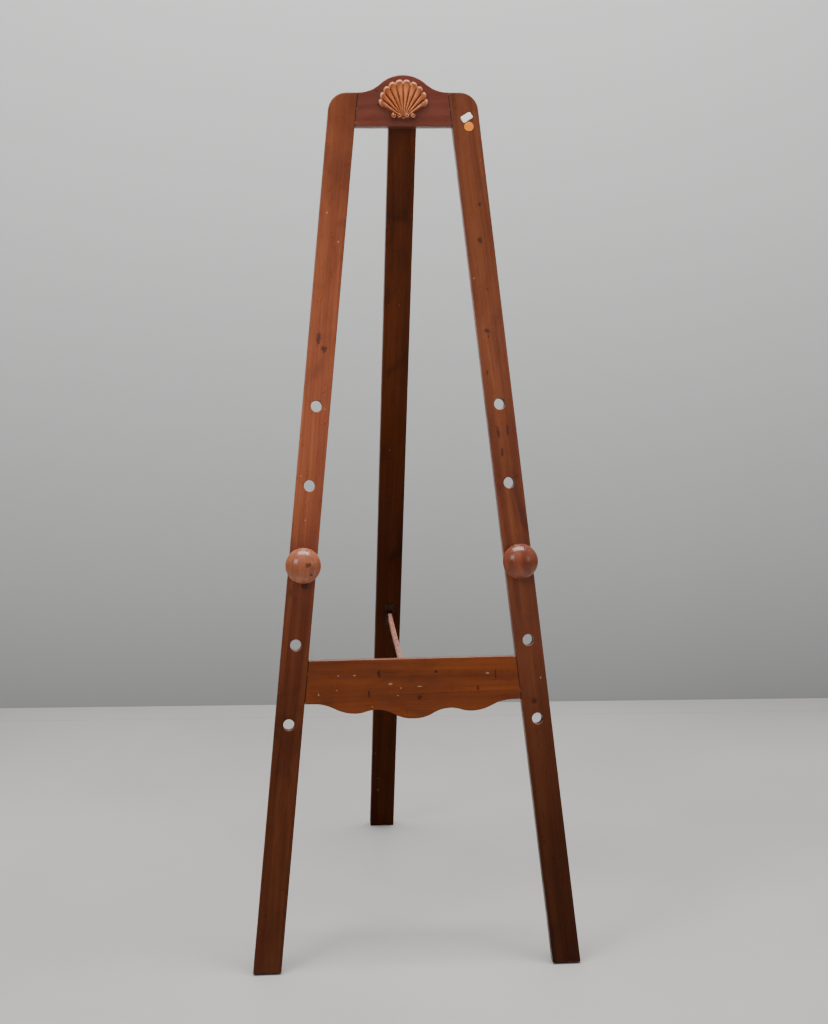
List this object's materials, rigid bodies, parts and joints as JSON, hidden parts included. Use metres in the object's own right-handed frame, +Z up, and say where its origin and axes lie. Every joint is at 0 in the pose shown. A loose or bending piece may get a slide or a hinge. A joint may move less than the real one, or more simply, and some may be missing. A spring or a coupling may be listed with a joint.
{
  "type": "display easel",
  "caption": "Folding wooden display easel: two splayed front legs with peg holes, arched top rail with carved shell, scalloped cross rail, hinged rear leg, stay and round pegs.",
  "frame": {"origin": "on the floor, midway between the legs' outermost points front to back and side to side", "axes": "+Z up, -Y towards the front where the picture stands, +X to the easel's right seen from the front"},
  "size_m": [0.5312, 0.7384, 1.4216],
  "materials": {
    "front_leg_wood": "varnished",
    "rear_leg_wood": "varnished",
    "top_rail_wood": "varnished",
    "cross_rail_wood": "varnished",
    "carved_wood": "varnished",
    "stay_wood": "varnished",
    "knob_wood": "varnished",
    "dowel_wood": "bare",
    "screw_brass": "aged",
    "dark_steel": "darkened"
  },
  "bodies": {
    "front_frame": {"left_front_leg": "front_leg_wood", "right_front_leg": "front_leg_wood", "top_rail": "top_rail_wood", "cross_rail": "cross_rail_wood", "top_rail_dowels": "dowel_wood", "cross_rail_dowels": "dowel_wood", "shell_ornament": "carved_wood", "hinge_rail_leaf": "dark_steel", "hinge_pin": "dark_steel", "hinge_rail_screws": "screw_brass", "rail_hook": "dark_steel"},
    "rear_leg": {"rear_leg": "rear_leg_wood", "hinge_leg_leaf": "dark_steel", "hinge_leg_screws": "screw_brass", "stay_bracket": "dark_steel", "stay_bracket_screws": "screw_brass", "stay_pivot_pin": "dark_steel"},
    "stay": {"stay_bar": "stay_wood"},
    "left_peg": {"left_peg_knob": "knob_wood", "left_peg_dowel": "dowel_wood"},
    "right_peg": {"right_peg_knob": "knob_wood", "right_peg_dowel": "dowel_wood"}
  },
  "joints": [
    {"name": "rear_leg_fold", "type": "hinge", "parent": "front_frame", "child": "rear_leg", "pos_m": [0, -0.10983, 1.34005], "axis": [-1, 0, 0], "range_deg": [0, 25.4]},
    {"name": "stay_swing", "type": "hinge", "parent": "rear_leg", "child": "stay", "pos_m": [0.002, 0.18323, 0.45612], "axis": [-1, 0, 0], "range_deg": [0, 68.13]},
    {"name": "left_peg_pull", "type": "slide", "parent": "front_frame", "child": "left_peg", "axis": [0, -0.9848, 0.1736], "range_m": [0, 0.045]},
    {"name": "right_peg_pull", "type": "slide", "parent": "front_frame", "child": "right_peg", "axis": [0, -0.9848, 0.1736], "range_m": [0, 0.045]}
  ],
  "couplings": [
    {"joint": "stay_swing", "follows": "rear_leg_fold", "ratio": 2.6785}
  ]
}
